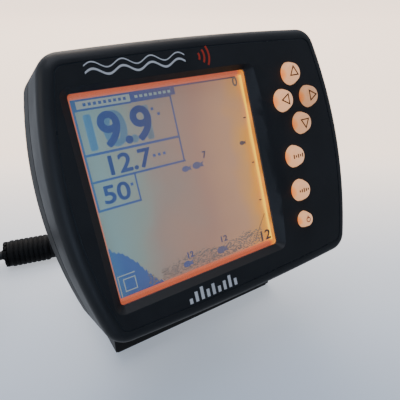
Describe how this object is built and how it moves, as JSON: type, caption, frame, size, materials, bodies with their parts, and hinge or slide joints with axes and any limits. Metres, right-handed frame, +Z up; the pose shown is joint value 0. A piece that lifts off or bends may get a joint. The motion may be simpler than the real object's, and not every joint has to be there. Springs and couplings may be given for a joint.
{
  "type": "fish finder",
  "caption": "Sonar display head with a square screen and round lit keys on a tilt and swivel foot, with an in-line connector and a coiled power lead.",
  "frame": {"origin": "centre of the foot's underside, on the swivel axis", "axes": "+Z up along the swivel axis, -Y towards the viewer of the screen, +X to that viewer's right"},
  "size_m": [0.2804, 0.1758, 0.161],
  "materials": {
    "case_plastic": "satin moulded ABS, fine grain",
    "mount_plastic": "fine-textured glass-filled nylon",
    "black_rubber": "matt moulded rubber",
    "grey_rubber": "conductive silicone",
    "lead_jacket": "semi-matt PVC jacket",
    "steel": "stainless, bright",
    "tin_plate": "tin plate",
    "brass": "bright",
    "clear_window": "clear hard-coated acrylic",
    "display_glass": "liquid-crystal cell, grey-green",
    "amber_plastic": "translucent, lit from its right edge",
    "milky_acrylic": "milky acrylic",
    "tray_plastic": "moulded, white",
    "board_green": "solder mask over glass epoxy",
    "ferrite": "ferrite core and winding",
    "capacitor_sleeve": "shrink sleeve",
    "chip_resin": "moulding resin",
    "film": "polyimide film",
    "key_silicone": "translucent silicone, lit from inside",
    "white_acetal": "acetal"
  },
  "bodies": {
    "foot": {"foot": "mount_plastic", "foot_pad": "black_rubber", "wave_washer": "steel", "swivel_glide": "white_acetal", "pigtail_grommet": "black_rubber", "pigtail": "lead_jacket", "inline_socket": "black_rubber", "inline_plug": "black_rubber", "lead": "lead_jacket", "lead_coil": "lead_jacket", "lead_tail": "lead_jacket", "power_plug": "black_rubber", "power_pins": "brass"},
    "stem": {"stem": "mount_plastic", "tilt_washers": "white_acetal", "swivel_bolt": "steel"},
    "head": {"front_shell": "case_plastic", "rear_shell": "case_plastic", "case_gasket": "black_rubber", "case_screws": "steel", "window_lens": "clear_window", "window_tape": "black_rubber", "light_rim": "amber_plastic", "lcd_glass": "display_glass", "light_guide": "milky_acrylic", "lamp_strip": "board_green", "display_tray": "tray_plastic", "elastomer_strips": "grey_rubber", "main_board": "board_green", "board_screws": "steel", "shield_can": "tin_plate", "sonar_transformer": "ferrite", "capacitors": "capacitor_sleeve", "board_chips": "chip_resin", "buzzer": "chip_resin", "key_board": "board_green", "key_jumper": "film", "key_domes": "steel", "key_mat": "key_silicone", "transducer_socket": "mount_plastic", "socket_pins": "brass", "tilt_bracket": "mount_plastic", "bracket_screws": "steel", "tilt_bolt": "steel", "lug_washer": "steel"},
    "tilt_knob": {"tilt_knob": "mount_plastic", "knob_insert": "brass"},
    "key_up": {"key_up": "key_silicone"},
    "key_right": {"key_right": "key_silicone"},
    "key_left": {"key_left": "key_silicone"},
    "key_down": {"key_down": "key_silicone"},
    "key_enter": {"key_enter": "key_silicone"},
    "key_setup": {"key_setup": "key_silicone"},
    "key_power": {"key_power": "key_silicone"}
  },
  "joints": [
    {"name": "swivel", "type": "hinge", "parent": "foot", "child": "stem", "pos_m": [0, 0, 0.02], "axis": [0, 0, 1], "range_deg": [-60, 60]},
    {"name": "tilt", "type": "hinge", "parent": "stem", "child": "head", "pos_m": [0, 0, 0.07], "axis": [1, 0, 0], "range_deg": [-45, 23.4]},
    {"name": "tilt_knob_turn", "type": "hinge", "parent": "head", "child": "tilt_knob", "pos_m": [0.0266, 0, 0.07], "axis": [1, 0, 0], "range_deg": [0, 360]},
    {"name": "key_up_press", "type": "slide", "parent": "head", "child": "key_up", "axis": [0, 0.9178, -0.3972], "range_m": [0, 0.0012], "stiffness_N_per_m": 800},
    {"name": "key_right_press", "type": "slide", "parent": "head", "child": "key_right", "axis": [0, 0.9178, -0.3972], "range_m": [0, 0.0012], "stiffness_N_per_m": 800},
    {"name": "key_left_press", "type": "slide", "parent": "head", "child": "key_left", "axis": [0, 0.9178, -0.3972], "range_m": [0, 0.0012], "stiffness_N_per_m": 800},
    {"name": "key_down_press", "type": "slide", "parent": "head", "child": "key_down", "axis": [0, 0.9178, -0.3972], "range_m": [0, 0.0012], "stiffness_N_per_m": 800},
    {"name": "key_enter_press", "type": "slide", "parent": "head", "child": "key_enter", "axis": [0, 0.9178, -0.3972], "range_m": [0, 0.0012], "stiffness_N_per_m": 800},
    {"name": "key_setup_press", "type": "slide", "parent": "head", "child": "key_setup", "axis": [0, 0.9178, -0.3972], "range_m": [0, 0.0012], "stiffness_N_per_m": 800},
    {"name": "key_power_press", "type": "slide", "parent": "head", "child": "key_power", "axis": [0, 0.9178, -0.3972], "range_m": [0, 0.0012], "stiffness_N_per_m": 800}
  ]
}
